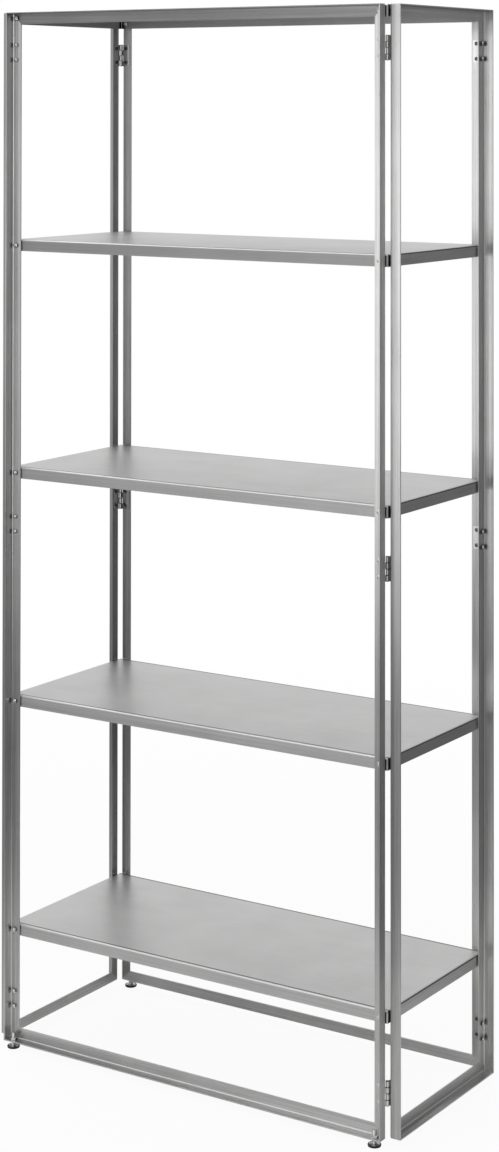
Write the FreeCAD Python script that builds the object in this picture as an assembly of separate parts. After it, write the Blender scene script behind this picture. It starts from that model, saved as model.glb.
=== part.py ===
import FreeCAD, Part
import math
import os

# Folding shelving unit of bent stainless steel, in millimetres.
# X runs along the wide front, Y from front to back, Z up.
# The origin is on the floor, under the middle of the unit.

# Overall sizes
frame_height = 1800.0
lowest_shelf_height = 200.0
foot_height = 12.0

# Shelf trays, named from the top down. The top one is level with the frames' top
shelf_names = ("top", "upper", "middle", "lower", "bottom")
shelf_length = 764.0
shelf_depth = 325.0
shelf_skirt = 20.0
shelf_thickness = 1.5
shelf_bend = 3.0
shelf_end_gap = 2.0
shelf_side_gap = 1.5

# Frame profile: a bent angle, one leg in the plane of the frame, one leg pointing outward
frame_leg = 20.0
frame_thickness = 2.0
frame_bend = 4.0

# Butt hinges, three on each corner
hinge_height = 40.0
hinge_inset = 70.0
hinge_shelf_distance = 100.0
leaf_reach = 18.0
leaf_thickness = 1.5
pin_radius = 1.5
pin_fit = 0.06
pin_end_height = 0.8
knuckle_count = 4
knuckle_gap = 0.3
post_pin_gap = 1.0
hinge_screw_pitch = 26.0

# Hinge screws and nuts
screw_head_radius = 3.4
screw_head_height = 0.4
hinge_nut_width = 7.0
hinge_nut_height = 3.2

# Pins that the shelves hang on
stud_radius = 2.5
stud_head_radius = 4.6
stud_head_height = 2.2
stud_play = 0.3
stud_seat_gap = 0.05
notch_play = 1.5
stud_nut_width = 8.0
stud_nut_height = 3.6

# Levelling feet
foot_inset = 15.0
foot_stud_radius = 3.95
foot_stud_top = 14.0
foot_disc_radius = 11.0
foot_disc_height = 1.6
foot_collar_radius = 7.0
foot_collar_height = 1.2
foot_sole_height = 2.0
foot_sole_step = 0.4
foot_nut_width = 13.0
foot_nut_height = 4.0
thread_gap = 0.05
nut_wall_gap = 0.2

# Small round parts repeat many times, so they have a few flat sides, which keeps the model light
knuckle_sides = 12
bore_sides = 8
stud_sides = 8
thread_sides = 12
disc_sides = 24
nut_sides = 6

# Cutting shapes run this far past what they cut
cut_margin = 1.0

# Sizes that follow from the ones above
knuckle_radius = pin_radius + leaf_thickness
side_plane = shelf_length / 2 + shelf_end_gap
front_plane = shelf_depth / 2 + shelf_side_gap
wide_half = side_plane - knuckle_radius - post_pin_gap
narrow_half = front_plane - knuckle_radius - post_pin_gap
leg_middle = frame_leg / 2
knuckle_length = (hinge_height - (knuckle_count - 1) * knuckle_gap) / knuckle_count
shelf_pitch = (frame_height - lowest_shelf_height) / (len(shelf_names) - 1)
shelf_tops = [frame_height - number * shelf_pitch for number in range(len(shelf_names))]
middle_hinge = shelf_tops[len(shelf_names) // 2] - hinge_shelf_distance
hinge_levels = (hinge_inset, middle_hinge, frame_height - hinge_inset)
screw_offsets = (-hinge_screw_pitch / 2, hinge_screw_pitch / 2)
stud_drop = shelf_skirt / 2
stud_levels = [top - stud_drop for top in shelf_tops]
foot_middle = frame_bend + foot_nut_width / 2 + nut_wall_gap

up = FreeCAD.Vector(0, 0, 1)
inward = FreeCAD.Vector(0, 1, 0)
outward = FreeCAD.Vector(0, -1, 0)


def box(low, high):
    size = [b - a for a, b in zip(low, high)]
    return Part.makeBox(size[0], size[1], size[2], FreeCAD.Vector(*low))


def prism(radius, height, sides):
    # An upright prism with even sides, its corners at radius, one of them on each axis
    angles = [math.radians(360 / sides * side) for side in range(sides + 1)]
    points = [FreeCAD.Vector(radius * math.cos(angle), radius * math.sin(angle), 0) for angle in angles]
    return Part.Face(Part.makePolygon(points)).extrude(up * height)


def prism_bore(radius, height, sides):
    # The same, but with a circle of this radius clear inside it
    return prism(radius / math.cos(math.pi / sides), height, sides)


def stacked(steps, base, direction):
    # Prisms on top of each other, each with its radius, height and number of sides
    level = 0
    parts = []
    for radius, height, sides in steps:
        step = prism(radius, height, sides)
        step.translate(up * level)
        parts.append(step)
        level += height
    solid = parts[0].multiFuse(parts[1:]).removeSplitter() if len(parts) > 1 else parts[0]
    solid.Placement = FreeCAD.Placement(base, FreeCAD.Rotation(up, direction))
    return solid.Solids[0]


def nut(width, height, base, direction):
    corner = width / 2 / math.cos(math.pi / nut_sides)
    return stacked(((corner, height, nut_sides),), base, direction)


# One frame is drawn facing the front: its inner face on y = 0, its outward legs towards -Y
def angle_section(half):
    # The section of the bar at +X, seen from above, with its bend outside at (half, 0)
    inner_bend = frame_bend - frame_thickness
    free = half - frame_leg
    face_line = half - frame_thickness
    slant = math.sin(math.pi / 4)
    bend_x = half - frame_bend
    corners = (
        FreeCAD.Vector(free, 0, 0),
        FreeCAD.Vector(bend_x, 0, 0),
        FreeCAD.Vector(bend_x + frame_bend * slant, frame_bend * slant - frame_bend, 0),
        FreeCAD.Vector(half, -frame_bend, 0),
        FreeCAD.Vector(half, -frame_leg, 0),
        FreeCAD.Vector(face_line, -frame_leg, 0),
        FreeCAD.Vector(face_line, -frame_bend, 0),
        FreeCAD.Vector(bend_x + inner_bend * slant, inner_bend * slant - frame_bend, 0),
        FreeCAD.Vector(bend_x, -frame_thickness, 0),
        FreeCAD.Vector(free, -frame_thickness, 0),
    )
    edges = [
        Part.makeLine(corners[0], corners[1]),
        Part.Arc(corners[1], corners[2], corners[3]).toShape(),
        Part.makeLine(corners[3], corners[4]),
        Part.makeLine(corners[4], corners[5]),
        Part.makeLine(corners[5], corners[6]),
        Part.Arc(corners[6], corners[7], corners[8]).toShape(),
        Part.makeLine(corners[8], corners[9]),
        Part.makeLine(corners[9], corners[0]),
    ]
    return Part.Face(Part.Wire(edges))


def mitred_bar(half, length):
    # A bar at +X from z = 0 to z = length, with both ends cut at 45 degrees
    bar = angle_section(half).extrude(up * length)
    free = half - frame_leg
    outline = [
        FreeCAD.Vector(half, cut_margin, 0),
        FreeCAD.Vector(half, cut_margin, length),
        FreeCAD.Vector(free, cut_margin, length - frame_leg),
        FreeCAD.Vector(free, cut_margin, frame_leg),
        FreeCAD.Vector(half, cut_margin, 0),
    ]
    wedge = Part.Face(Part.makePolygon(outline)).extrude(outward * 2 * frame_leg)
    return bar.common(wedge).Solids[0]


def turned_in_plane(shape, angle):
    # Turns a bar about the middle of the frame, in the frame's own plane
    middle = FreeCAD.Vector(0, 0, frame_height / 2)
    shape.rotate(middle, inward, angle)
    return shape


def plain_bars(half):
    post = mitred_bar(half, frame_height)
    rail = mitred_bar(frame_height / 2, 2 * half)
    rail.translate(FreeCAD.Vector(0, 0, frame_height / 2 - half))
    return {
        "right_post": post,
        "left_post": turned_in_plane(post.copy(), 180),
        "top_bar": turned_in_plane(rail.copy(), -90),
        "bottom_bar": turned_in_plane(rail.copy(), 90),
    }


def frame_bars(half, has_feet):
    bars = plain_bars(half)
    if has_feet:
        for x in foot_positions(half):
            hole = prism_bore(foot_stud_radius + thread_gap, frame_leg, thread_sides)
            hole.translate(FreeCAD.Vector(x, -foot_middle, 0))
            bars["bottom_bar"] = bars["bottom_bar"].cut(hole)
    return {name: bar.Solids[0] for name, bar in bars.items()}


def foot_positions(half):
    return (foot_inset - half, half - foot_inset)


# Hinge leaves lie on the inner face of the posts, and roll round the pin beyond the post's edge
def knuckle_range(number):
    start = number * (knuckle_length + knuckle_gap)
    return start, start + knuckle_length


def hinge_leaf(half, side, level, first_knuckle):
    pin_x = half + post_pin_gap
    base = level - hinge_height / 2
    leaf = box((pin_x - leaf_reach, 0, base), (pin_x, leaf_thickness, base + hinge_height))
    for number in range(knuckle_count):
        low, high = (base + z for z in knuckle_range(number))
        if number % 2 == first_knuckle:
            roll = prism(knuckle_radius, high - low, knuckle_sides)
            roll.translate(FreeCAD.Vector(pin_x, knuckle_radius, low))
            leaf = leaf.fuse(roll)
        else:
            # The sheet stops short of the other leaf's knuckle
            notch_start = pin_x - knuckle_radius - knuckle_gap
            low = low - knuckle_gap if number else base
            high = high + knuckle_gap if number < knuckle_count - 1 else high
            leaf = leaf.cut(box((notch_start, 0, low), (pin_x + knuckle_radius, leaf_thickness, high)))
    bore = prism_bore(pin_radius + (pin_fit if first_knuckle else 0), hinge_height, bore_sides)
    bore.translate(FreeCAD.Vector(pin_x, knuckle_radius, base))
    leaf = leaf.cut(bore).removeSplitter().Solids[0]
    if side < 0:
        leaf = leaf.mirror(FreeCAD.Vector(0, 0, 0), FreeCAD.Vector(1, 0, 0))
    return leaf


def hinge_leaves(half, first_knuckle):
    return [hinge_leaf(half, side, level, first_knuckle) for side in (-1, 1) for level in hinge_levels]


def hinge_pins(x, y):
    length = hinge_height + 2 * pin_end_height
    return [
        Part.makeCylinder(pin_radius, length, FreeCAD.Vector(x, y, foot_height + level - length / 2), up)
        for level in hinge_levels
    ]


def at_hinge_screws(half, make):
    return [
        make(side * (half - leg_middle), level + offset)
        for side in (-1, 1)
        for level in hinge_levels
        for offset in screw_offsets
    ]


def hinge_screw(x, z):
    # The low head of a screw that is driven from the inside of the unit
    base = FreeCAD.Vector(x, leaf_thickness, z)
    return stacked(((screw_head_radius, screw_head_height, stud_sides),), base, inward)


def hinge_nut(x, z):
    return nut(hinge_nut_width, hinge_nut_height, FreeCAD.Vector(x, -frame_thickness, z), outward)


def at_shelf_studs(half, make):
    return [make(side * (half - leg_middle), level) for side in (-1, 1) for level in stud_levels]


def shelf_stud(x, z):
    # A collar on the post, a neck in the shelf's notch and a flat head behind the shelf's skirt
    collar = shelf_side_gap - stud_play
    neck = shelf_thickness + 2 * stud_play
    steps = (
        (stud_head_radius, collar, stud_sides),
        (stud_radius, neck, stud_sides),
        (stud_head_radius, stud_head_height, stud_sides),
    )
    return stacked(steps, FreeCAD.Vector(x, 0, z), inward)


def stud_nut(x, z):
    return nut(stud_nut_width, stud_nut_height, FreeCAD.Vector(x, -frame_thickness, z), outward)


# A shelf is one folded tray: a flat top with a skirt all round, and a notch over each stud
def shelf_tray(top):
    half_length = shelf_length / 2
    half_depth = shelf_depth / 2
    outside = box((-half_length, -half_depth, -shelf_skirt), (half_length, half_depth, 0))
    folds = [edge for edge in outside.Edges if edge.CenterOfMass.z > -shelf_thickness]
    outside = outside.makeFillet(shelf_bend, folds)
    inside_low = (shelf_thickness - half_length, shelf_thickness - half_depth, -2 * shelf_skirt)
    inside_high = (half_length - shelf_thickness, half_depth - shelf_thickness, -shelf_thickness)
    tray = outside.cut(box(inside_low, inside_high))
    half_notch = stud_radius + notch_play
    notch_top = stud_radius + stud_seat_gap - stud_drop
    for side in (-1, 1):
        x = side * (wide_half - leg_middle)
        low = (x - half_notch, -shelf_depth, -2 * shelf_skirt)
        high = (x + half_notch, shelf_depth, notch_top)
        tray = tray.cut(box(low, high))
    tray.translate(up * (foot_height + top))
    return tray.Solids[0]


# Feet: a threaded stud with a pressed disc and a plastic sole, held by a nut on the bottom bar
def foot_stud(x, y):
    shank = foot_height + foot_stud_top - foot_sole_height - foot_disc_height - foot_collar_height
    steps = (
        (foot_disc_radius, foot_disc_height, disc_sides),
        (foot_collar_radius, foot_collar_height, disc_sides),
        (foot_stud_radius, shank, thread_sides),
    )
    return stacked(steps, FreeCAD.Vector(x, y, foot_sole_height), up)


def foot_sole(x, y):
    radius = foot_disc_radius - foot_sole_step
    return stacked(((radius, foot_sole_height, disc_sides),), FreeCAD.Vector(x, y, 0), up)


def foot_nut(x, y):
    base = FreeCAD.Vector(x, y, foot_height + frame_thickness)
    bore = prism_bore(foot_stud_radius + thread_gap, foot_nut_height, thread_sides)
    bore.translate(base)
    return nut(foot_nut_width, foot_nut_height, base, up).cut(bore).Solids[0]


# Each frame turns to its side of the unit. Its outward legs then point away from the shelves
frame_places = {
    "front": (wide_half, front_plane, 0, {"left_post": "left_post", "right_post": "right_post"}),
    "back": (wide_half, front_plane, 180, {"left_post": "right_post", "right_post": "left_post"}),
    "left": (narrow_half, side_plane, -90, {"left_post": "back_post", "right_post": "front_post"}),
    "right": (narrow_half, side_plane, 90, {"left_post": "front_post", "right_post": "back_post"}),
}


def placed(shapes, distance, angle):
    moved = []
    for shape in shapes:
        shape = shape.copy()
        shape.translate(FreeCAD.Vector(0, -distance, foot_height))
        shape.rotate(FreeCAD.Vector(0, 0, 0), up, angle)
        moved.append(shape)
    return moved


def frame_nodes(side):
    half, distance, angle, post_names = frame_places[side]
    wide = half == wide_half
    nodes = {}
    for name, bar in frame_bars(half, wide).items():
        nodes[side + "_frame_" + post_names.get(name, name)] = placed([bar], distance, angle)
    nodes[side + "_frame_hinge_leaves"] = placed(hinge_leaves(half, 0 if wide else 1), distance, angle)
    nodes[side + "_frame_hinge_screws"] = placed(at_hinge_screws(half, hinge_screw), distance, angle)
    nodes[side + "_frame_hinge_nuts"] = placed(at_hinge_screws(half, hinge_nut), distance, angle)
    if wide:
        nodes[side + "_frame_shelf_studs"] = placed(at_shelf_studs(half, shelf_stud), distance, angle)
        nodes[side + "_frame_stud_nuts"] = placed(at_shelf_studs(half, stud_nut), distance, angle)
    return nodes


def corner_nodes():
    nodes = {}
    for row, y_side in (("front", -1), ("back", 1)):
        for column, x_side in (("left", -1), ("right", 1)):
            corner = row + "_" + column
            pin_x = x_side * (side_plane - knuckle_radius)
            pin_y = y_side * (front_plane - knuckle_radius)
            nodes[corner + "_hinge_pins"] = hinge_pins(pin_x, pin_y)
            foot_x = x_side * foot_positions(wide_half)[1]
            foot_y = y_side * (front_plane + foot_middle)
            nodes[corner + "_foot_stud"] = [foot_stud(foot_x, foot_y)]
            nodes[corner + "_foot_sole"] = [foot_sole(foot_x, foot_y)]
            nodes[corner + "_foot_nut"] = [foot_nut(foot_x, foot_y)]
    return nodes


def all_nodes():
    nodes = {}
    for side in frame_places:
        nodes.update(frame_nodes(side))
    nodes.update(corner_nodes())
    for name, top in zip(shelf_names, shelf_tops):
        nodes[name + "_shelf"] = [shelf_tray(top)]
    return nodes


os.makedirs("parts", exist_ok=True)
for node, solids in all_nodes().items():
    shape = solids[0] if len(solids) == 1 else Part.makeCompound(solids)
    bad = [number for number, solid in enumerate(solids) if not solid.isValid() or len(solid.Solids) != 1]
    if bad:
        print("check", node, bad)
    shape.exportStep("parts/" + node + ".step")
print("nodes written:", len(os.listdir("parts")))
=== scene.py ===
import math

import bmesh
import bpy
from mathutils import Matrix, Vector


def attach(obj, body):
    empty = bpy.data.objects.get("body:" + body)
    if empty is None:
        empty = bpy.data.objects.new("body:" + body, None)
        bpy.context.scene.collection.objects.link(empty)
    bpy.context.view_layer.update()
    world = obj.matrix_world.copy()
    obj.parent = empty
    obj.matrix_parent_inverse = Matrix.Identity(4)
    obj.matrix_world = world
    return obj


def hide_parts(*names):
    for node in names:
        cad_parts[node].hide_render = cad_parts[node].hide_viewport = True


# Folding shelving unit of brushed stainless steel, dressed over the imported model.
# Shapes are drawn in millimetres, and each piece is scaled to metres when it is finished.
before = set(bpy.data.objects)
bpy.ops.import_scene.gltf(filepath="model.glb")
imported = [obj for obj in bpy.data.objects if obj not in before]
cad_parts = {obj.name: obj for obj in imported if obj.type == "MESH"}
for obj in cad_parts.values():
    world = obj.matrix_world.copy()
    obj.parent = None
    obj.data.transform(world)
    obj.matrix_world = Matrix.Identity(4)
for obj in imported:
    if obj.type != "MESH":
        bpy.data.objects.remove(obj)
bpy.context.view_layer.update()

MM = 0.001
UP = Vector((0, 0, 1))

# Points nearer than this are one, and edges that turn by more degrees than this are drawn sharp
weld_distance = 0.0005
sharp_angle = 50

# Camera at the photograph's viewpoint, at the front right, for a picture of 499 by 1152 pixels.
# Its place is in metres, its turns are in degrees, and lens_axis_row is where the lens axis meets the
# picture, in rows from the top.
picture_height = 1152
lens_axis_row = 68.8
focal_pixels = 2414.3
sensor_height = 36.0
camera_place = (2.3044, -3.5076, 1.6547)
camera_yaw = 33.162
camera_pitch = 0.79
camera_roll = 0.051

# Frames of bent angle. A plane is how far the inner face of a frame lies from the unit's middle.
frame_height = 1800
foot_height = 12
leg = 20
sheet = 2
bend = 4
edge_round = 0.25
wide_half = 380
narrow_half = 160
front_plane = 164
side_plane = 384

# Butt hinges: plates screwed inside the posts, and knuckles rolled round a pin beyond the posts' edges
hinge_height = 40
hinge_levels = (70, 900, 1730)
leaf_reach = 18
leaf_sheet = 1.5
leaf_corner = 2.5
leaf_edge_round = 0.15
knuckle_count = 4
knuckle_radius = 3
knuckle_gap = 0.3
knuckle_edge_round = 0.35
roll_end = 200
pin_radius = 1.5
pin_fit = 0.06
pin_hold = 0.01
pin_gap = 1
pin_end = 0.8
pin_tip = ((0, 0), (0.9, 0.05), (1.35, 0.3), (pin_radius, 0.7))

# Shelves
shelf_names = ("top", "upper", "middle", "lower", "bottom")
shelf_tops = (1800, 1400, 1000, 600, 200)
shelf_half_length = 382
shelf_half_depth = 162.5
skirt = 20
shelf_sheet = 1.5
shelf_bend = 3
shelf_corner = 2.5
least_corner = 0.2
notch_half = 4
notch_reach = 5

# Fasteners, with their heights in the frame. A nut is given by its width over the flats and its height.
screw_spread = 13
screw_heights = [level + offset for level in hinge_levels for offset in (-screw_spread, screw_spread)]
screw_head_radius = 3.4
screw_head_height = 0.55
screw_end_radius = 1.9
screw_end_reach = 5.0
hinge_nut = (7, 3.2)
stud_heights = [top - skirt / 2 for top in shelf_tops]
stud_radius = 2.5
stud_end_radius = 2.4
stud_end_reach = 5.2
stud_nut = (8, 3.6)

# Levelling feet
foot_x = 365
foot_y = 174.7
foot_stud_radius = 3.95
foot_stud_start = 4.8
foot_stud_end = 26
foot_nut = (13, 4)
foot_nut_bore = 4.0
thread_pitch = 1.25
thread_depth = 0.5
thread_taper = 0.7
driver_slot_half = 0.55
driver_slot_depth = 1.4


class Shade:
    # One output of a material's nodes; arithmetic on it adds Math nodes
    def __init__(self, finish, socket):
        self.finish = finish
        self.socket = socket

    def math(self, operation, *values):
        return self.finish.node("ShaderNodeMath", {"operation": operation}, dict(enumerate(values)))

    def __add__(self, other):
        return self.math("ADD", self, other)

    def __sub__(self, other):
        return self.math("SUBTRACT", self, other)

    def __mul__(self, other):
        return self.math("MULTIPLY", self, other)

    def __radd__(self, other):
        return self.math("ADD", other, self)

    def __rsub__(self, other):
        return self.math("SUBTRACT", other, self)

    def __rmul__(self, other):
        return self.math("MULTIPLY", other, self)

    def __gt__(self, other):
        return self.math("GREATER_THAN", self, other)

    def __abs__(self):
        return self.math("ABSOLUTE", self)


class Finish:
    # A node tree that is filled one node at a time
    def __init__(self, tree):
        self.tree = tree

    def node(self, kind, settings, values, output=0):
        made = self.tree.nodes.new(kind)
        for name, value in settings.items():
            setattr(made, name, value)
        for name, value in values.items():
            self.feed(made.inputs[name], value)
        return Shade(self, made.outputs[output])

    def feed(self, socket, value):
        if isinstance(value, Shade):
            self.tree.links.new(value.socket, socket)
        else:
            socket.default_value = value

    def place(self):
        return self.node("ShaderNodeTexCoord", {}, {}, "Object")

    def normal(self):
        return self.node("ShaderNodeNewGeometry", {}, {}, "Normal")

    def camera_ray(self):
        return self.node("ShaderNodeLightPath", {}, {}, "Is Camera Ray")

    def apart(self, vector):
        parts = self.node("ShaderNodeSeparateXYZ", {}, {"Vector": vector})
        return [Shade(self, socket) for socket in parts.socket.node.outputs]

    def noise(self, place, scale, detail=2.0, roughness=0.55):
        # Noise with so many waves in a metre, given once or for each axis
        if isinstance(scale, (int, float)):
            scale = (scale,) * 3
        mapped = self.node("ShaderNodeMapping", {}, {"Vector": place, "Scale": scale})
        values = {"Vector": mapped, "Scale": 1.0, "Detail": detail, "Roughness": roughness}
        return self.node("ShaderNodeTexNoise", {}, values, "Fac")

    def ramp(self, value, low, high, start=0.0, end=1.0, soft=False):
        values = {"Value": value, "From Min": low, "From Max": high, "To Min": start, "To Max": end}
        kind = "SMOOTHSTEP" if soft else "LINEAR"
        return self.node("ShaderNodeMapRange", {"interpolation_type": kind}, values, "Result")

    def ramp_mm(self, value, low, high, start=0.0, end=1.0):
        return self.ramp(value, low * MM, high * MM, start, end)

    def between(self, factor, first, second):
        values = {"Factor": factor, "A": first, "B": second}
        return self.node("ShaderNodeMix", {"data_type": "RGBA"}, values, "Result")

    def bump(self, height, strength):
        values = {"Strength": strength, "Distance": bump_distance, "Height": height}
        return self.node("ShaderNodeBump", {}, values, "Normal")


def grey(level):
    return (level, level, level * 0.995, 1.0)


# Waves in a metre across the grain and along it, and of the marks that have no grain
scratch_waves = (1500.0, 7.0)
streak_waves = (330.0, 1.8)
band_waves = (90.0, 0.9)
cloud_waves = 9.0
smudge_waves = 34.0
bump_distance = 0.0001

# Tones for the painted highlights, and for the painted shade and the dark lines
painted_highlight_tone = grey(0.98)
dark_tone = grey(0.02)

# Painted reflections of the nuts, as dark marks beside them, in millimetres: where they start and end
# outward from a frame's plane, how far they reach above and below the nut's middle, and how strong they
# are
nut_reflection_start = (2.3, 3.2)
nut_reflection_end = (7, 11)
nut_reflection_height = (3, 5.5)
nut_reflection_share = 0.6
nut_reflection_tone = grey(0.04)

# Painted shade on the hinge plates: metres over which the darkening at the back left comes in, and the
# ring round each pin
back_left_shade_reach = 0.1
back_left_shade_share = 0.25
pin_shade_ring = (4.6, 5.6)
pin_shade_share = 0.93

# Shelf trays, in millimetres: the dark line's two sides, from the long edges, and the reach of the
# painted shade at the corners.
# The skirts' painted shade grows between two heights, which are in metres.
bend_line_start = (3.0, 3.8)
bend_line_end = (7.0, 6.0)
corner_shade_reach = (9, 7)
skirt_shade_heights = (0.9, 1.45)
skirt_shade_shares = (0.2, 0.54)


def new_material(name):
    material = bpy.data.materials.new(name)
    material.use_nodes = True
    finish = Finish(material.node_tree)
    shader = material.node_tree.nodes["Principled BSDF"]
    return material, finish, shader


def along_axis(axis, waves):
    across, along = waves
    return tuple(along if other == axis else across for other in range(3))


def steel_grain(finish, shader, place, axis, level, roughness, streaks, wide_streaks, relief):
    # Fine scratches drawn out along one axis, wider streaks, soft clouds and handling marks
    scratches = finish.noise(place, along_axis(axis, scratch_waves), 2.0, 0.6)
    streak = finish.noise(place, along_axis(axis, streak_waves), 3.0)
    band = finish.noise(place, along_axis(axis, band_waves), 2.0)
    cloud = finish.noise(place, cloud_waves, 3.0)
    smudge = finish.noise(place, smudge_waves, 4.0)
    wear = (scratches - 0.5) * streaks + (streak - 0.5) * streaks + (band - 0.5) * wide_streaks
    wear = wear + (cloud - 0.5) * 0.3
    rough = (scratches - 0.5) * 0.14 + (smudge - 0.5) * 0.06 + (band - 0.5) * 0.08 + roughness
    finish.feed(shader.inputs["Roughness"], rough)
    finish.feed(shader.inputs["Normal"], finish.bump(scratches + streak * 0.6, relief))
    return finish.between(wear + 0.5, grey(level * 0.6), grey(min(level * 1.4, 1.0)))


def brushed_steel(name, axis, level, roughness, stretch, turned=0.0, streaks=0.9, wide_streaks=0.7,
                  relief=0.3, shade_marks=None):
    # Steel brushed along one axis, with a painted highlight on its bends, and painted shade from the
    # given marking function
    material, finish, shader = new_material(name)
    place = finish.place()
    tone = steel_grain(finish, shader, place, axis, level, roughness, streaks, wide_streaks, relief)
    # Painted highlight on the rounded bends
    tone = finish.between(bend_share(finish, axis) * 0.5, tone, painted_highlight_tone)
    # Painted shade and painted reflections from the marking function
    if shade_marks:
        tone = shade_marks(finish, tone)
    finish.feed(shader.inputs["Base Color"], tone)
    shader.inputs["Metallic"].default_value = 1.0
    shader.inputs["Anisotropic"].default_value = stretch
    shader.inputs["Anisotropic Rotation"].default_value = turned
    return material


def bend_share(finish, axis):
    # How far a face lies in the rounded bend between the two legs of a bar along this axis
    parts = finish.apart(finish.normal())
    first, second = (part for other, part in enumerate(parts) if other != axis)
    return finish.ramp(abs(first * second), 0.12, 0.4, soft=True)


def post_nut_reflections(finish, tone):
    # Painted reflection of each nut: a dark mark on the inner face of a post's outward leg, beside each
    # nut of a hinge or a shelf stud
    x, y, z = finish.apart(finish.place())
    x_away = abs(x)
    y_away = abs(y)

    def beside(outward, across, half):
        started = finish.ramp_mm(outward, *nut_reflection_start)
        ended = finish.ramp_mm(outward, *nut_reflection_end, 1.0, 0.0)
        on_inner_face = finish.ramp_mm(across, half - sheet * 0.6, half - sheet * 0.8)
        return started * ended * on_inner_face

    def level_with(heights):
        shade_marks = []
        for height in heights:
            offset = abs(z - (foot_height + height) * MM)
            shade_marks.append(finish.ramp_mm(offset, *nut_reflection_height, nut_reflection_share, 0.0))
        return sum(shade_marks)

    beside_front = beside(y_away - front_plane * MM, x_away, wide_half)
    beside_side = beside(x_away - side_plane * MM, y_away, narrow_half)
    by_hinges = level_with(screw_heights) * (beside_front + beside_side)
    return finish.between(by_hinges + level_with(stud_heights) * beside_front, tone, nut_reflection_tone)


def plate_shade(finish, tone):
    # Painted shade on the hinge plates at the back left, and a ring of painted shade round each pin
    x, y = finish.apart(finish.place())[:2]
    leftward = finish.ramp(x, 0.0, -back_left_shade_reach)
    backward = finish.ramp(y, 0.0, back_left_shade_reach)
    tone = finish.between(leftward * backward * back_left_shade_share, tone, dark_tone)
    x_away = abs(x) - (side_plane - knuckle_radius) * MM
    y_away = abs(y) - (front_plane - knuckle_radius) * MM
    inner, outer = ((radius * MM) ** 2 for radius in pin_shade_ring)
    by_pin = finish.ramp(x_away * x_away + y_away * y_away, inner, outer, pin_shade_share, 0.0)
    return finish.between(by_pin, tone, dark_tone)


def tray_steel(name, level, roughness):
    # Brushed sheet whose grain runs along the shelf, and level along the skirts at its two ends.
    # A dark line runs beside the bends, which carry a painted highlight. The skirts are painted darker
    # than the top, as painted shade, the upper ones most, with painted shade on both sides of each
    # corner and a painted highlight on the corner.
    material, finish, shader = new_material(name)
    x, y, z = finish.apart(finish.place())
    sideways, forwards, upwards = (abs(part) for part in finish.apart(finish.normal()))
    on_end = sideways > 0.7
    along = x * (1.0 - on_end) + y * on_end
    across = y * (1.0 - on_end)
    folded = finish.node("ShaderNodeCombineXYZ", {}, {"X": along, "Y": across, "Z": z}, "Vector")
    on_skirt = finish.ramp(upwards, 0.45, 0.2, soft=True)
    streaks = on_skirt * 0.34 + 0.18
    rough = on_skirt * 0.1 + roughness
    tone = steel_grain(finish, shader, folded, 0, level, rough, streaks, 0.06, 0.15)
    # Painted shade: the long skirts are darker, the upper ones most
    skirt_shade = finish.ramp(z, *skirt_shade_heights, *skirt_shade_shares)
    tone = finish.between(on_skirt * (1.0 - on_end) * skirt_shade, tone, grey(level * 0.3))
    # Painted highlight on the bends
    in_bend = finish.ramp(upwards, 0.99, 0.9) * finish.ramp(upwards, 0.15, 0.45)
    tone = finish.between(in_bend * 0.6, tone, painted_highlight_tone)
    from_edge = shelf_half_depth * MM - abs(y)
    edge_line = finish.ramp_mm(from_edge, *bend_line_start) * finish.ramp_mm(from_edge, *bend_line_end)
    end_line = finish.ramp(upwards, 0.04, 0.15) * on_end
    tone = finish.between(edge_line * 0.85 + end_line * 0.8, tone, dark_tone)
    # Painted shade beside each corner, and a painted highlight on the rounded corner
    by_end = finish.ramp_mm(abs(x), *(shelf_half_length - inward for inward in corner_shade_reach))
    by_front = finish.ramp_mm(abs(y), *(shelf_half_depth - inward for inward in corner_shade_reach))
    corner_shade_and_highlight = finish.between(finish.ramp(sideways * forwards, 0.08, 0.25), dark_tone, grey(0.95))
    tone = finish.between(by_end * by_front * on_skirt * 0.9, tone, corner_shade_and_highlight)
    finish.feed(shader.inputs["Base Color"], tone)
    shader.inputs["Metallic"].default_value = 1.0
    return material


def turned_steel(name, level, roughness, shaded=0.0, nut_axis=None, jointed=False):
    # Bright machined or plated steel: faint rings, a few dull spots, and grime in the speckle.
    # Its right side is painted dark as painted shade, or the flats of a nut on this axis. Knuckles have
    # painted shade where two meet.
    material, finish, shader = new_material(name)
    place = finish.place()
    rings = finish.noise(place, (300.0, 300.0, 2600.0), 2.0)
    spots = finish.noise(place, 420.0, 4.0, 0.6)
    cloud = finish.noise(place, 60.0, 2.0)
    wear = (rings - 0.5) * 0.3 + (cloud - 0.5) * 0.25 + 0.5
    tone = finish.between(wear, grey(level * 0.75), grey(min(level * 1.2, 1.0)))
    speckle = finish.ramp(spots, 0.62, 0.78, 0.0, 0.45)
    tone = finish.between(speckle, tone, grey(level * 0.35))
    facing = finish.apart(finish.normal())
    if nut_axis is None:
        dark_side = finish.ramp(facing[0], 0.7, 0.95, 0.0, shaded)
    else:
        dark_side = finish.ramp(abs(facing[nut_axis]), 0.75, 0.45, 0.0, shaded)
    # Painted shade on the right side, or on the flats of a nut
    tone = finish.between(dark_side, tone, grey(0.03))
    if jointed:
        knuckle_step = hinge_height / knuckle_count * MM
        lowest_knuckle = (foot_height + hinge_levels[0] - hinge_height / 2) * MM
        knuckles_up = (finish.apart(place)[2] - lowest_knuckle) * (1 / knuckle_step)
        in_knuckle = knuckles_up.math("FRACT", knuckles_up)
        # Painted shade in the gap between two knuckles
        tone = finish.between(finish.ramp(abs(in_knuckle - 0.5), 0.4, 0.46), tone, dark_tone)
    finish.feed(shader.inputs["Base Color"], tone)
    finish.feed(shader.inputs["Roughness"], speckle * 0.5 + (cloud - 0.5) * 0.1 + roughness)
    finish.feed(shader.inputs["Normal"], finish.bump(rings + spots * 0.3, 0.15))
    shader.inputs["Metallic"].default_value = 1.0
    return material


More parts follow.
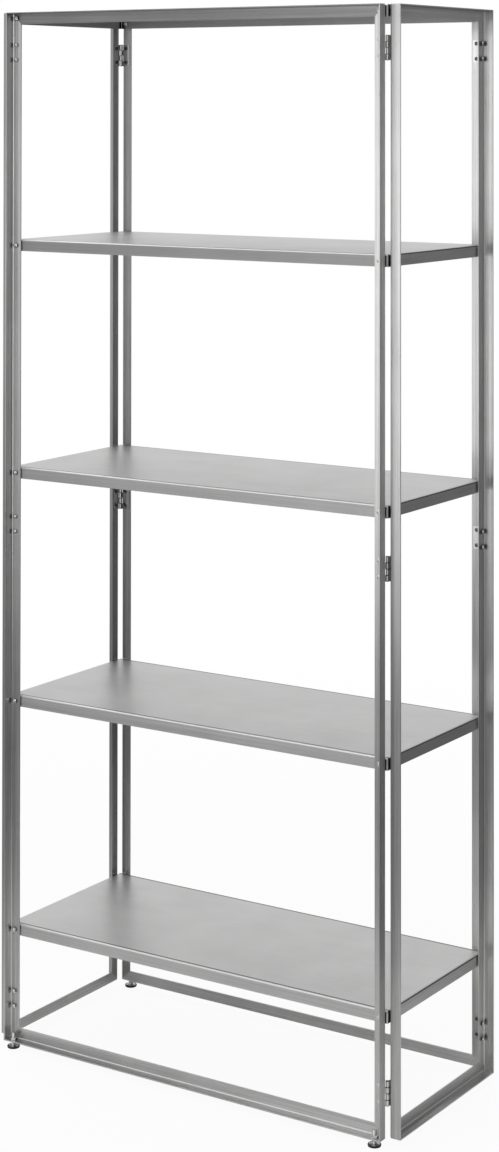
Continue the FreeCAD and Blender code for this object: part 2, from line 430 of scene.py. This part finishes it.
def black_plastic(name, level, roughness):
    # Moulded black plastic with a fine grain and dust on it
    material, finish, shader = new_material(name)
    place = finish.place()
    speckle = finish.noise(place, 900.0, 3.0)
    dust = finish.ramp(finish.noise(place, 130.0, 4.0, 0.65), 0.5, 0.8, 0.0, 0.4)
    tone = finish.between(speckle, grey(level * 0.7), grey(level * 1.4))
    finish.feed(shader.inputs["Base Color"], finish.between(dust, tone, grey(0.07)))
    finish.feed(shader.inputs["Roughness"], (speckle - 0.5) * 0.2 + dust * 0.3 + roughness)
    finish.feed(shader.inputs["Normal"], finish.bump(speckle, 0.3))
    return material


# Each brushed finish has its grain's axis, level of grey, roughness and stretched gloss
post_steel = brushed_steel("post_steel", 2, 0.67, 0.3, 0.8, shade_marks=post_nut_reflections)
# A darker copy of post_steel, for painted shade on the left frame's posts and the back left post
shaded_post_steel = brushed_steel("shaded_post_steel", 2, 0.46, 0.3, 0.8, shade_marks=post_nut_reflections)
long_bar_steel = brushed_steel("long_bar_steel", 0, 0.63, 0.36, 0.7, turned=0.25)
# A darker copy of long_bar_steel, for painted shade on the top bars
shaded_top_bar_steel = brushed_steel("shaded_top_bar_steel", 0, 0.4, 0.36, 0.7, turned=0.25)
short_bar_steel = brushed_steel("short_bar_steel", 1, 0.66, 0.36, 0.6, turned=0.25)
leaf_steel = brushed_steel(
    "leaf_steel", 2, 0.64, 0.14, 0.0, streaks=0.4, wide_streaks=0.3, relief=0.1, shade_marks=plate_shade)
shelf_steel = tray_steel("shelf_steel", 0.67, 0.38)
knuckle_steel = turned_steel("knuckle_steel", 1.0, 0.2, shaded=0.4, jointed=True)
pin_steel = turned_steel("pin_steel", 0.8, 0.12)
# Screw heads painted nearly black, as painted shade in their recesses
shaded_head_steel = turned_steel("shaded_head_steel", 0.14, 0.16)
end_steel = turned_steel("end_steel", 1.0, 0.16, shaded=0.6)
stud_steel = turned_steel("stud_steel", 0.85, 0.14, shaded=0.4)
side_nut_steel = turned_steel("side_nut_steel", 1.0, 0.14, shaded=0.9, nut_axis=0)
front_nut_steel = turned_steel("front_nut_steel", 1.0, 0.14, shaded=0.9, nut_axis=1)
nut_steel = turned_steel("nut_steel", 0.9, 0.14, shaded=0.9)
foot_steel = turned_steel("foot_steel", 1.0, 0.2, shaded=0.85)
disc_steel = turned_steel("disc_steel", 0.6, 0.14)
sole_plastic = black_plastic("sole_plastic", 0.025, 0.5)


# Shapes. Each is made on its own, before it is put in its place
def moved(shape, matrix):
    bmesh.ops.transform(shape, matrix=matrix, verts=shape.verts)
    return shape


def at(x, y, z):
    return Matrix.Translation((x, y, z))


def gathered(parts):
    whole = bmesh.new()
    for part in parts:
        mesh = bpy.data.meshes.new("part")
        part.to_mesh(mesh)
        part.free()
        whole.from_mesh(mesh)
        bpy.data.meshes.remove(mesh)
    return whole


def repeated(shape, matrices):
    copies = [moved(shape.copy(), matrix) for matrix in matrices]
    shape.free()
    return gathered(copies)


def lofted(rings, closed=True):
    # A face on the first ring is extruded to each of the others in turn; all have as many points
    shape = bmesh.new()
    first = shape.faces.new([shape.verts.new(point) for point in rings[0]])
    last = first
    for ring in rings[1:]:
        made = bmesh.ops.extrude_face_region(shape, geom=[last, *last.edges])["geom"]
        last = next(item for item in made if isinstance(item, bmesh.types.BMFace))
        for vert, point in zip(last.verts, ring):
            vert.co = point
    if not closed:
        bmesh.ops.delete(shape, geom=[first, last], context="FACES_ONLY")
    bmesh.ops.recalc_face_normals(shape, faces=shape.faces)
    return shape


def turned_part(profile, segments=32):
    # A round part: its profile is pairs of radius and height, and ends on the axis close it
    shape = bmesh.new()
    points = [shape.verts.new((radius, 0, height)) for radius, height in profile]
    lines = [shape.edges.new(pair) for pair in zip(points, points[1:])]
    bmesh.ops.spin(
        shape, geom=points + lines, cent=(0, 0, 0), axis=UP, angle=2 * math.pi, steps=segments,
        use_merge=True)
    bmesh.ops.remove_doubles(shape, verts=shape.verts, dist=weld_distance)
    return shape


def arc(middle, radius, start, end, steps):
    x, y = middle
    angles = [math.radians(start + (end - start) * step / steps) for step in range(steps + 1)]
    return [(x + radius * math.cos(angle), y + radius * math.sin(angle)) for angle in angles]


def eased(shape, offset, segments=2, sharper_than=35):
    # Takes the sharpness off every edge that turns by more than this angle
    bmesh.ops.recalc_face_normals(shape, faces=shape.faces)
    sharp = [
        edge for edge in shape.edges
        if len(edge.link_faces) == 2 and edge.calc_face_angle() > math.radians(sharper_than)
    ]
    bmesh.ops.bevel(
        shape, geom=sharp, offset=offset, offset_type="OFFSET", segments=segments, profile=0.5,
        affect="EDGES", material=-1, clamp_overlap=True)
    return shape


def box_shape(low, high):
    shape = bmesh.new()
    bmesh.ops.create_cube(shape, size=1.0)
    size = [b - a for a, b in zip(low, high)]
    middle = [(a + b) / 2 for a, b in zip(low, high)]
    return moved(shape, at(*middle) @ Matrix.Diagonal((*size, 1)))


def drawn_object(name, shape):
    mesh = bpy.data.meshes.new(name)
    shape.to_mesh(mesh)
    shape.free()
    piece = bpy.data.objects.new(name, mesh)
    bpy.context.scene.collection.objects.link(piece)
    return piece


def settled(piece):
    # Takes the modifiers' result as the piece's own mesh
    bpy.context.view_layer.update()
    ready = piece.evaluated_get(bpy.context.evaluated_depsgraph_get())
    mesh = bpy.data.meshes.new_from_object(ready)
    piece.modifiers.clear()
    piece.data = mesh
    return piece


def cut_by(shape, cutters):
    piece = drawn_object("blank", shape)
    tool = drawn_object("cutter", gathered(cutters))
    cut = piece.modifiers.new("cut", "BOOLEAN")
    cut.operation = "DIFFERENCE"
    cut.solver = "EXACT"
    cut.object = tool
    settled(piece)
    result = bmesh.new()
    result.from_mesh(piece.data)
    bpy.data.objects.remove(piece)
    bpy.data.objects.remove(tool)
    return result


def finished(name, shape, material, body, node):
    bmesh.ops.remove_doubles(shape, verts=shape.verts, dist=weld_distance)
    bmesh.ops.recalc_face_normals(shape, faces=shape.faces)
    moved(shape, Matrix.Scale(MM, 4))
    piece = drawn_object(name, shape)
    piece.data.materials.append(material)
    piece.data.shade_smooth()
    piece.data.set_sharp_from_angle(angle=math.radians(sharp_angle))
    even = piece.modifiers.new("even_shading", "WEIGHTED_NORMAL")
    even.keep_sharp = True
    settled(piece)
    piece.data.name = name
    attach(piece, body)
    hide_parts(node)
    return piece


def angle_outline(half):
    # The bent angle from above: its outer corner at (half, 0), one leg along -X, one towards -Y
    middle = (half - bend, -bend)
    outer = arc(middle, bend, 90, 0, 8)
    inner = arc(middle, bend - sheet, 0, 90, 5)
    ends = [(half, -leg), (half - sheet, -leg)]
    return [(half - leg, 0)] + outer + ends + inner + [(half - leg, -sheet)]


def mitred_bar(half, length):
    outline = angle_outline(half)
    low = [(x, y, half - x) for x, y in outline]
    high = [(x, y, length - half + x) for x, y in outline]
    return eased(lofted((low, high)), edge_round)


def frame_bars(half):
    # Right post, left post, top bar and bottom bar: upright bars, turned about the frame's middle
    half_height = frame_height / 2
    middle = at(0, 0, half_height)
    bars = []
    for angle, upright in ((0, True), (180, True), (-90, False), (90, False)):
        if upright:
            bar = mitred_bar(half, frame_height)
        else:
            bar = moved(mitred_bar(half_height, 2 * half), at(0, 0, half_height - half))
        turn = middle @ Matrix.Rotation(math.radians(angle), 4, "Y") @ middle.inverted()
        bars.append(moved(bar, turn))
    return bars


def hinge_leaf(half, level, first_knuckle):
    # A plate whose tongues roll round the pin, beyond the post's edge
    pin_x = half + pin_gap
    plate_end = pin_x - knuckle_radius - knuckle_gap
    base = level - hinge_height / 2
    length = (hinge_height - (knuckle_count - 1) * knuckle_gap) / knuckle_count
    bore = pin_radius + (pin_fit if first_knuckle else pin_hold)
    middle = (pin_x, knuckle_radius)
    plate = box_shape((pin_x - leaf_reach, 0, base), (plate_end, leaf_sheet, base + hinge_height))
    corners = [
        edge for edge in plate.edges
        if all(vert.co.x < plate_end - leaf_sheet for vert in edge.verts)
        and abs(edge.verts[0].co.y - edge.verts[1].co.y) > leaf_sheet / 2
    ]
    bmesh.ops.bevel(
        plate, geom=corners, offset=leaf_corner, offset_type="OFFSET", segments=5, profile=0.5,
        affect="EDGES", material=-1)
    knuckles = []
    roll = [(plate_end, 0)] + arc(middle, knuckle_radius, -90, roll_end, 22)
    roll += arc(middle, bore, roll_end, -90, 18) + [(plate_end, leaf_sheet)]
    for number in range(first_knuckle, knuckle_count, 2):
        low = base + number * (length + knuckle_gap)
        rings = [[(x, y, z) for x, y in roll] for z in (low, low + length)]
        knuckles.append(eased(lofted(rings), knuckle_edge_round, sharper_than=60))
    return eased(plate, leaf_edge_round, segments=1), gathered(knuckles)


def mirrored(shape, side):
    if side < 0:
        moved(shape, Matrix.Scale(-1, 4, Vector((1, 0, 0))))
        bmesh.ops.reverse_faces(shape, faces=shape.faces)
    return shape


def hinge_leaves(half, first_knuckle):
    plates = []
    rolled = []
    for side in (-1, 1):
        for level in hinge_levels:
            plate, knuckles = hinge_leaf(half, level, first_knuckle)
            plates.append(mirrored(plate, side))
            rolled.append(mirrored(knuckles, side))
    return gathered(plates), gathered(rolled)


def hex_nut(size, bore):
    # Six flats whose corners are chamfered at the outer end, round a plain bore
    width, height = size
    flat = width / 2
    angles = [math.radians(10 * step) for step in range(36)]
    circle = [(math.cos(angle), math.sin(angle)) for angle in angles]
    reaches = [flat / math.cos((angle + math.pi / 6) % (math.pi / 3) - math.pi / 6) for angle in angles]
    drops = [max(0.0, (reach - flat * 0.95) * 0.6) for reach in reaches]
    low_bore = [(bore * x, bore * y, 0) for x, y in circle]
    low_flats = [(r * x, r * y, 0) for (x, y), r in zip(circle, reaches)]
    high_flats = [(r * x, r * y, height - drop) for (x, y), r, drop in zip(circle, reaches, drops)]
    high_face = [(flat * 0.93 * x, flat * 0.93 * y, height) for x, y in circle]
    high_bore = [(bore * x, bore * y, height) for x, y in circle]
    return lofted((low_bore, low_flats, high_flats, high_face, high_bore, low_bore), closed=False)


def screw_end(radius, end):
    # The rounded end of a screw, standing out of its nut
    rounded = []
    for angle in (0, 20, 40, 60, 78):
        a = math.radians(angle)
        rounded.append((radius * math.cos(a), end - radius * 0.5 * (1 - math.sin(a))))
    return turned_part([(0, 0), (radius, 0)] + rounded + [(0, end)], 20)


def cross_head(radius, height):
    # A low domed screw head with a cross recess, turned a little
    dome = []
    for angle in (0, 25, 45, 65, 80, 90):
        a = math.radians(angle)
        dome.append((radius * math.sin(a), height * (0.35 + 0.65 * math.cos(a))))
    head = turned_part(dome + [(radius, 0), (0, 0)], 28)
    reach = radius * 0.58
    half = radius * 0.12
    for angle in (20, 110):
        slot = box_shape((-reach, -half, height * 0.35), (reach, half, height * 2))
        head = cut_by(head, [moved(slot, Matrix.Rotation(math.radians(angle), 4, "Z"))])
    return head


def stud_shape():
    # A collar on the post, a neck in the shelf's notch and a rounded head behind its skirt
    profile = (
        (0, 0), (4.6, 0), (4.6, 0.9), (4.3, 1.2), (stud_radius, 1.2), (stud_radius, 3.3), (4.2, 3.3),
        (4.6, 3.6), (4.6, 4.4), (4.2, 5.1), (3.2, 5.45), (0, 5.5),
    )
    return turned_part(profile, 28)


def facing_in(x, y, z):
    # From the shape's own +Z to the frame's +Y, which is the inside of the unit
    return at(x, y, z) @ Matrix.Rotation(-math.pi / 2, 4, "X")


def facing_out(x, y, z):
    return at(x, y, z) @ Matrix.Rotation(math.pi / 2, 4, "X")


def post_places(half, heights, facing, y):
    # In the middle of both posts' legs, at each height
    return [facing(side * (half - leg / 2), y, height) for side in (-1, 1) for height in heights]


def tray_ring(inset, level, corner):
    # A level outline of a shelf with rounded corners
    half_x = shelf_half_length - inset
    half_y = shelf_half_depth - inset
    points = []
    for start, x_side, y_side in ((0, 1, 1), (90, -1, 1), (180, -1, -1), (270, 1, -1)):
        middle = (x_side * (half_x - corner), y_side * (half_y - corner))
        points += [(x, y, level) for x, y in arc(middle, corner, start, start + 90, 5)]
    return points


def bend_rings(inset, radius, angles):
    # The outlines round one side of a tray's bend
    rings = []
    for angle in angles:
        a = math.radians(angle)
        in_by = inset + radius * (1 - math.sin(a))
        level = -inset - radius * (1 - math.cos(a))
        rings.append(tray_ring(in_by, level, max(shelf_corner - in_by, least_corner)))
    return rings


def tray_shape():
    # From the middle of the top over its edge, down the skirt, and back up inside
    rings = bend_rings(0, shelf_bend, (0, 15, 30, 45, 60, 75, 90))
    rings.append(tray_ring(0, -skirt, shelf_corner))
    rings.append(tray_ring(shelf_sheet, -skirt, shelf_corner - shelf_sheet))
    rings += bend_rings(shelf_sheet, shelf_bend - shelf_sheet, (90, 60, 30, 0))
    return lofted(rings)


def shelf_tray(top):
    # The tray has a notch over each of its four studs
    stud_x = wide_half - leg / 2
    low = -2 * skirt
    high = stud_radius - skirt / 2
    notches = [
        box_shape((x - notch_half, y - notch_reach, low), (x + notch_half, y + notch_reach, high))
        for x in (-stud_x, stud_x)
        for y in (-shelf_half_depth, shelf_half_depth)
    ]
    return moved(cut_by(tray_shape(), notches), at(0, 0, foot_height + top))


def foot_disc_shape():
    # A pressed disc with a collar in its middle
    profile = (
        (0, 2.1), (8.8, 2.1), (8.8, 3.6), (8.2, 3.75), (7, 3.9), (7, 4.3), (6.4, 4.75), (3.6, 4.8),
        (0, 4.8),
    )
    return turned_part(profile, 40)


def foot_rim_shape():
    # The black edge of the sole, drawn up round the disc
    profile = ((8.9, 2), (10.7, 2), (11, 2.3), (11, 3.2), (10.5, 3.7), (9.3, 3.8), (8.9, 3.5), (8.9, 2))
    return turned_part(profile, 40)


def foot_sole_shape():
    return turned_part(((0, 0), (9.6, 0), (10.4, 0.35), (10.6, 0.9), (10.6, 2), (0, 2)), 40)


def foot_stud_shape():
    # A stud with a rolled thread, tapered over its last millimetre, and a slot in its end
    length = foot_stud_end - foot_stud_start
    count = int(length / (thread_pitch / 6))
    rows = []
    for row in range(count + 1):
        z = foot_stud_start + length * row / count
        fade = min(1.0, foot_stud_end - z)
        ring = []
        for step in range(24):
            turn = step / 24
            angle = 2 * math.pi * turn
            wave = abs(((z / thread_pitch - turn) % 1.0) * 2 - 1)
            radius = foot_stud_radius - thread_depth * wave * fade - thread_taper * (1 - fade)
            ring.append((radius * math.cos(angle), radius * math.sin(angle), z))
        rows.append(ring)
    low = foot_stud_end - driver_slot_depth
    high = foot_stud_end + 2
    slot = box_shape((-6, -driver_slot_half, low), (6, driver_slot_half, high))
    return cut_by(lofted(rows), [moved(slot, Matrix.Rotation(math.radians(35), 4, "Z"))])


# A frame is drawn facing the front, and then turned to its own side of the unit. Each has half its
# width, its plane, its turn, and what its right and left posts are called once it is there.
frame_sides = {
    "front": (wide_half, front_plane, 0, ("right_post", "left_post")),
    "back": (wide_half, front_plane, 180, ("left_post", "right_post")),
    "left": (narrow_half, side_plane, -90, ("front_post", "back_post")),
    "right": (narrow_half, side_plane, 90, ("back_post", "front_post")),
}


def bar_steel(side, name, wide):
    # The left frame's posts and the back left one are painted darker, as painted shade, and so are the
    # front and back frames' top bars
    if name.endswith("post"):
        in_shade = side == "left" or (side, name) == ("back", "left_post")
        return shaded_post_steel if in_shade else post_steel
    if wide:
        return shaded_top_bar_steel if name == "top_bar" else long_bar_steel
    return short_bar_steel


def build_frame(side, half, plane, angle, post_names):
    body = side + "_frame"
    place = Matrix.Rotation(math.radians(angle), 4, "Z") @ at(0, -plane, foot_height)
    wide = half == wide_half
    nut_finish = front_nut_steel if wide else side_nut_steel

    def add(piece, shape, material, node):
        finished(side + "_" + piece, moved(shape, place), material, body, body + "_" + node)

    for name, bar in zip(post_names + ("top_bar", "bottom_bar"), frame_bars(half)):
        add(name, bar, bar_steel(side, name, wide), name)
    plates, knuckles = hinge_leaves(half, 0 if wide else 1)
    add("hinge_plates", plates, leaf_steel, "hinge_leaves")
    add("hinge_knuckles", knuckles, knuckle_steel, "hinge_leaves")
    head_places = post_places(half, screw_heights, facing_in, leaf_sheet)
    heads = repeated(cross_head(screw_head_radius, screw_head_height), head_places)
    add("screw_heads", heads, shaded_head_steel, "hinge_screws")
    nut_places = post_places(half, screw_heights, facing_out, -sheet)
    ends = repeated(screw_end(screw_end_radius, screw_end_reach), nut_places)
    add("screw_ends", ends, end_steel, "hinge_screws")
    nuts = repeated(hex_nut(hinge_nut, screw_end_radius), nut_places)
    add("hinge_nuts", nuts, nut_finish, "hinge_nuts")
    if wide:
        nut_places = post_places(half, stud_heights, facing_out, -sheet)
        studs = repeated(stud_shape(), post_places(half, stud_heights, facing_in, 0))
        ends = repeated(screw_end(stud_end_radius, stud_end_reach), nut_places)
        add("shelf_studs", gathered((studs, ends)), stud_steel, "shelf_studs")
        nuts = repeated(hex_nut(stud_nut, stud_end_radius), nut_places)
        add("stud_nuts", nuts, nut_finish, "stud_nuts")


def build_corner(row, column, x_side, y_side):
    # The hinge pins of one corner, and the foot under it
    corner = row + "_" + column
    body = row + "_frame"
    reach = hinge_height / 2 + pin_end
    profile = [(radius, drop - reach) for radius, drop in pin_tip]
    profile += [(radius, reach - drop) for radius, drop in reversed(pin_tip)]
    pin_x = x_side * (side_plane - knuckle_radius)
    pin_y = y_side * (front_plane - knuckle_radius)
    places = [at(pin_x, pin_y, foot_height + level) for level in hinge_levels]
    pins = repeated(turned_part(profile, 24), places)
    finished(corner + "_pins", pins, pin_steel, body, corner + "_hinge_pins")
    place = at(x_side * foot_x, y_side * foot_y, 0)
    foot_pieces = (
        ("_stud", foot_stud_shape(), foot_steel, "_foot_stud", "foot_steel"),
        ("_disc", foot_disc_shape(), disc_steel, "_foot_stud", "foot_steel"),
        ("_rim", foot_rim_shape(), sole_plastic, "_foot_stud", "foot_plastic"),
        ("_sole", foot_sole_shape(), sole_plastic, "_foot_sole", "foot_plastic"),
    )
    for piece, shape, material, node, slot in foot_pieces:
        finished(corner + piece, moved(shape, place), material, corner + "_foot", corner + node)
    nut = moved(hex_nut(foot_nut, foot_nut_bore), place @ at(0, 0, foot_height + sheet))
    finished(corner + "_nut", nut, nut_steel, body, corner + "_foot_nut")


def build_shelves():
    for name, top in zip(shelf_names, shelf_tops):
        body = name + "_shelf"
        finished(name + "_tray", shelf_tray(top), shelf_steel, body, body)


# Stage: a pale floor that fades into a white surround, between two distances from its middle. The near
# pair is for light and reflections, and the far pair for the camera. Metres.
white = (1.0, 1.0, 1.0, 1.0)
floor_radius = 6.0
floor_glow = 0.94
near_fading = (0.6, 1.3)
far_fading = (1.2, 3.2)


def make_floor():
    # The camera sees the floor nearly white; light and reflections see it grey
    shape = bmesh.new()
    bmesh.ops.create_circle(shape, cap_ends=True, radius=floor_radius, segments=96)
    floor = drawn_object("floor", shape)
    material, finish, shader = new_material("floor_white")
    shader.inputs["Base Color"].default_value = grey(0.88)
    shader.inputs["Roughness"].default_value = 0.9
    shader.inputs["Specular IOR Level"].default_value = 0.2
    seen = finish.camera_ray()
    glow = finish.node("ShaderNodeEmission", {}, {"Color": white, "Strength": 1.0})
    clear = finish.node("ShaderNodeBsdfTransparent", {}, {})
    length = {"operation": "LENGTH"}
    distance = finish.node("ShaderNodeVectorMath", length, {0: finish.place()}, "Value")
    near_fade = finish.ramp(distance, *near_fading)
    fade = seen * (finish.ramp(distance, *far_fading) - near_fade) + near_fade
    lit = Shade(finish, shader.outputs[0])
    lifted = finish.node("ShaderNodeMixShader", {}, {0: seen * floor_glow, 1: lit, 2: glow})
    surface = finish.node("ShaderNodeMixShader", {}, {0: fade, 1: lifted, 2: clear})
    finish.feed(finish.tree.nodes["Material Output"].inputs["Surface"], surface)
    floor.data.materials.append(material)


def make_world():
    # A studio that is bright behind the unit and in a band in front of it, and dim on the right.
    # Where the camera sees it, it is white.
    world = bpy.data.worlds.new("studio")
    bpy.context.scene.world = world
    world.use_nodes = True
    finish = Finish(world.node_tree)
    background = world.node_tree.nodes["Background"]
    direction = finish.node("ShaderNodeTexCoord", {}, {}, "Generated")
    seen = finish.camera_ray()
    height = finish.apart(direction)[2]

    def towards(x, y, edge, full):
        # A side of the studio: its level heading, and the cosines where it starts and is at its full
        settings = {"operation": "DOT_PRODUCT"}
        along = finish.node("ShaderNodeVectorMath", settings, {0: direction, 1: (x, y, 0.0)}, "Value")
        return finish.ramp(along, edge, full, soft=True)

    front = towards(-0.3, -0.954, 0.74, 0.97)
    front_left = towards(-0.52, -0.85, 0.72, 0.92)
    back = towards(-0.55, 0.83, 0.3, 0.95)
    right_back = towards(0.62, 0.78, 0.2, 0.9)
    right_side = towards(0.94, -0.34, 0.5, 0.95)
    by_camera = towards(0.55, -0.84, 0.92, 0.99)

    band = finish.ramp(abs(height), 0.04, 0.2, 1.0, 0.0, soft=True)
    raised = finish.ramp(height, 0.05, 0.35, soft=True)
    above = finish.ramp(height, 0.1, 0.5, soft=True)
    below = finish.ramp(height, -0.08, -0.28, soft=True)
    low_down = finish.ramp(height, -0.2, -0.32, soft=True)

    back_light = back * (band * 0.4 + raised * 0.12 + 0.24) - right_back * 0.24
    level = back_light + front * (band * 0.28 - above * 0.16) + 0.42
    level = (level - right_side * 0.3) * (1.0 - below * 0.6) + by_camera * 0.3
    level = level + front_left * low_down * 0.2
    background.inputs["Color"].default_value = white
    finish.feed(background.inputs["Strength"], seen * (1.0 - level) + level)


def soft_lamp(name, place, target, size, watts):
    lamp = bpy.data.lights.new(name, "AREA")
    lamp.shape = "RECTANGLE"
    lamp.size, lamp.size_y = size
    lamp.energy = watts
    holder = bpy.data.objects.new(name, lamp)
    holder.location = place
    aim = Vector(target) - Vector(place)
    holder.rotation_euler = aim.to_track_quat("-Z", "Y").to_euler()
    bpy.context.scene.collection.objects.link(holder)


def make_camera():
    data = bpy.data.cameras.new("camera")
    data.sensor_fit = "VERTICAL"
    data.sensor_height = sensor_height
    data.lens = sensor_height * focal_pixels / picture_height
    data.shift_y = (lens_axis_row - picture_height / 2) / picture_height
    data.clip_end = 100.0
    holder = bpy.data.objects.new("camera", data)
    turn = Matrix.Rotation(math.radians(camera_yaw), 4, "Z")
    turn = turn @ Matrix.Rotation(math.pi / 2 + math.radians(camera_pitch), 4, "X")
    turn = turn @ Matrix.Rotation(math.radians(camera_roll), 4, "Z")
    holder.matrix_world = Matrix.Translation(camera_place) @ turn
    bpy.context.scene.collection.objects.link(holder)
    bpy.context.scene.camera = holder


for side, drawn in frame_sides.items():
    build_frame(side, *drawn)
for row, y_side in (("front", -1), ("back", 1)):
    for column, x_side in (("left", -1), ("right", 1)):
        build_corner(row, column, x_side, y_side)
build_shelves()
make_floor()
make_world()
soft_lamp("top_lamp", place=(-0.6, -0.5, 4.6), target=(0.0, 0.0, 1.0), size=(7.5, 6.5), watts=140.0)
soft_lamp("front_lamp", place=(-0.45, -3.3, 1.1), target=(0.0, 0.0, 1.1), size=(2.5, 2.0), watts=10.5)
soft_lamp("strip_lamp", place=(-0.3, -3.6, 1.3), target=(0.0, 0.0, 1.3), size=(0.3, 1.8), watts=4.0)
make_camera()
bpy.context.scene.view_settings.view_transform = "Standard"
